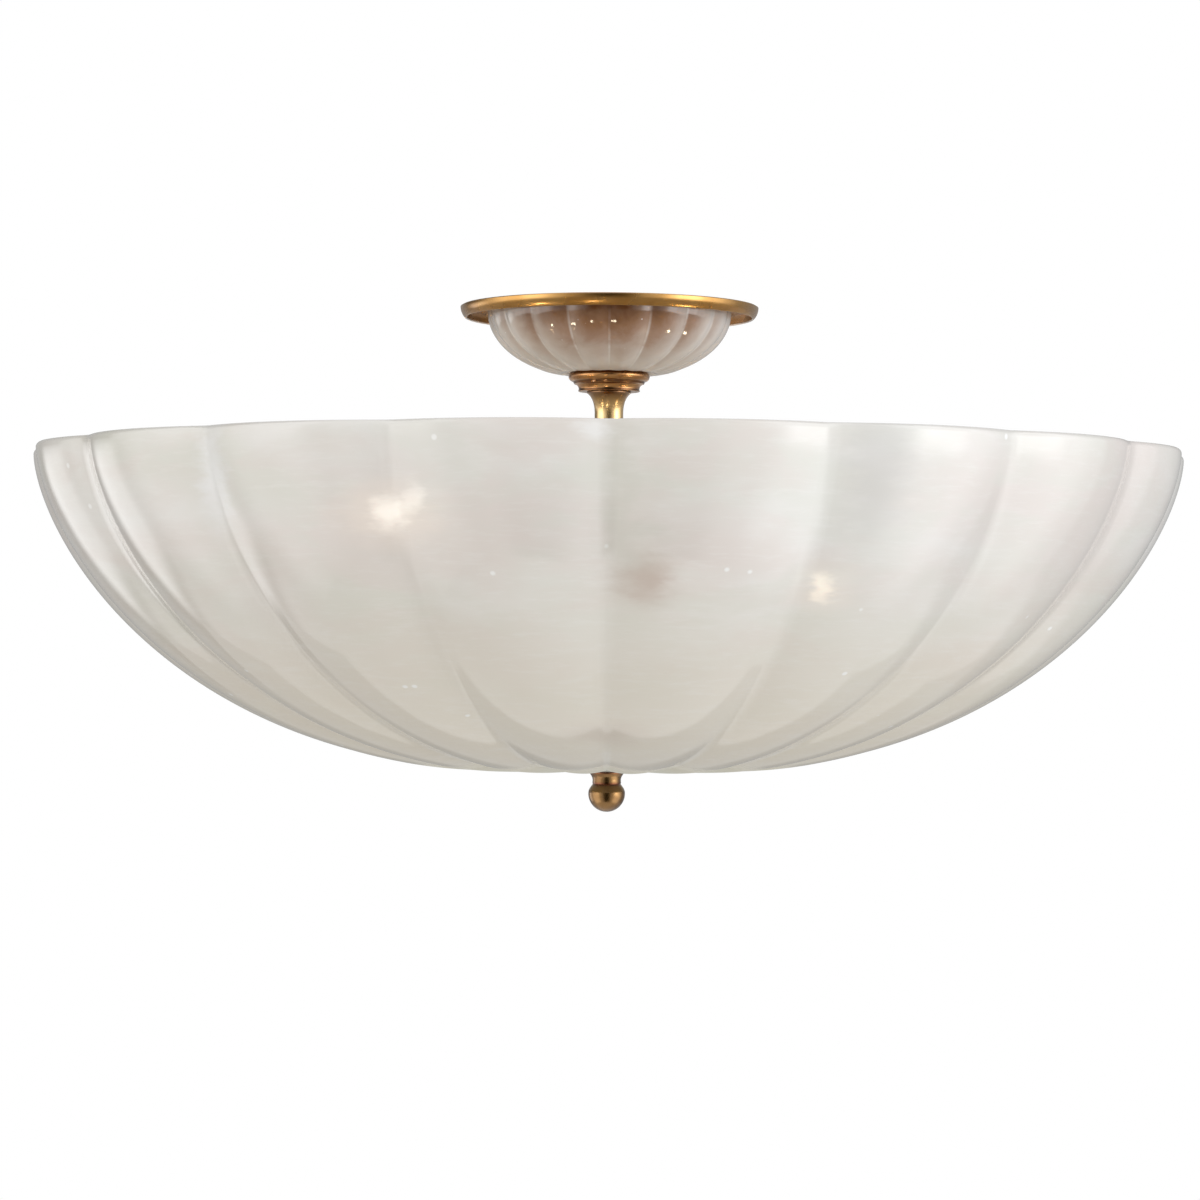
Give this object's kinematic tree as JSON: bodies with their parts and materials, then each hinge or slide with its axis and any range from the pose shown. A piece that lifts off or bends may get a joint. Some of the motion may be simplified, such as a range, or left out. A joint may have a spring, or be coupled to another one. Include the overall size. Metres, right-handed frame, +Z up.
{
  "type": "semi-flush ceiling light",
  "caption": "Semi-flush ceiling light: lobed milky glass bowl hung on a flared brass stem from a ribbed smoky glass canopy in a brass pan, with a ball finial and a lamp cluster.",
  "frame": {"origin": "centre of the two outlet box screw slots, on the ceiling face", "axes": "+Z up into the ceiling, +X along the crossbar, -Y towards the front of the picture"},
  "size_m": [0.61, 0.604, 0.2758],
  "materials": {
    "zinc_steel": "zinc plated, satin",
    "earthing_green": "green painted screw",
    "rod_steel": "yellow passivated zinc",
    "pan_brass": "aged brass, soft polish",
    "collar_brass": "aged brass, soft polish",
    "stem_brass": "aged brass, soft polish",
    "finial_brass": "darkened brass, soft polish",
    "hub_brass": "darkened brass, satin",
    "gasket_rubber": "matt",
    "clear_rubber": "translucent, matt",
    "dome_glass": "smoky taupe cloudy glass, gloss",
    "bowl_glass": "milky streaked glass, gloss",
    "porcelain": "white glazed porcelain",
    "contact_brass": "bright brass",
    "lamp_cap": "rolled aluminium",
    "lamp_insulator": "black vitreous insulator",
    "lamp_glass": "soft white frosted glass"
  },
  "bodies": {
    "fixture": {"crossbar": "zinc_steel", "crossbar_nuts": "zinc_steel", "ground_screw": "earthing_green", "center_rod": "rod_steel", "canopy_pan": "pan_brass", "dome_gasket": "gasket_rubber", "canopy_dome": "dome_glass", "dome_washer": "clear_rubber", "neck_collar": "collar_brass", "stem": "stem_brass", "hub_body": "hub_brass", "hub_cap": "hub_brass", "hub_washer": "zinc_steel", "hub_nut": "zinc_steel", "arm_nuts": "zinc_steel", "bowl_stop_nut": "zinc_steel", "arm_1": "rod_steel", "holder_1": "porcelain", "screw_shell_1": "contact_brass", "contact_1": "contact_brass", "arm_2": "rod_steel", "holder_2": "porcelain", "screw_shell_2": "contact_brass", "contact_2": "contact_brass", "arm_3": "rod_steel", "holder_3": "porcelain", "screw_shell_3": "contact_brass", "contact_3": "contact_brass"},
    "bowl": {"bowl_glass": "bowl_glass", "check_plate": "zinc_steel", "upper_washer": "clear_rubber", "lower_washer": "clear_rubber"},
    "finial": {"finial": "finial_brass"},
    "lamp_1": {"bulb_cap_1": "lamp_cap", "bulb_tip_1": "lamp_insulator", "bulb_glass_1": "lamp_glass"},
    "lamp_2": {"bulb_cap_2": "lamp_cap", "bulb_tip_2": "lamp_insulator", "bulb_glass_2": "lamp_glass"},
    "lamp_3": {"bulb_cap_3": "lamp_cap", "bulb_tip_3": "lamp_insulator", "bulb_glass_3": "lamp_glass"}
  },
  "joints": [
    {"name": "bowl_drop", "type": "slide", "parent": "fixture", "child": "bowl", "axis": [0, 0, -1], "range_m": [0, 0.008]},
    {"name": "finial_turn", "type": "hinge", "parent": "bowl", "child": "finial", "pos_m": [0, 0, -0.259], "axis": [0, 0, -1], "range_deg": [0, 2880]},
    {"name": "lamp_1_turn", "type": "hinge", "parent": "fixture", "child": "lamp_1", "pos_m": [0, 0, -0.141], "axis": [0.8576, -0.4951, 0.1392], "range_deg": [0, 1080]},
    {"name": "lamp_2_turn", "type": "hinge", "parent": "fixture", "child": "lamp_2", "pos_m": [0, 0, -0.141], "axis": [0, 0.9903, 0.1392], "range_deg": [0, 1080]},
    {"name": "lamp_3_turn", "type": "hinge", "parent": "fixture", "child": "lamp_3", "pos_m": [0, 0, -0.141], "axis": [-0.8576, -0.4951, 0.1392], "range_deg": [0, 1080]}
  ],
  "couplings": [
    {"joint": "finial_turn", "follows": "bowl_drop", "rad_per_m": 6283.2}
  ]
}
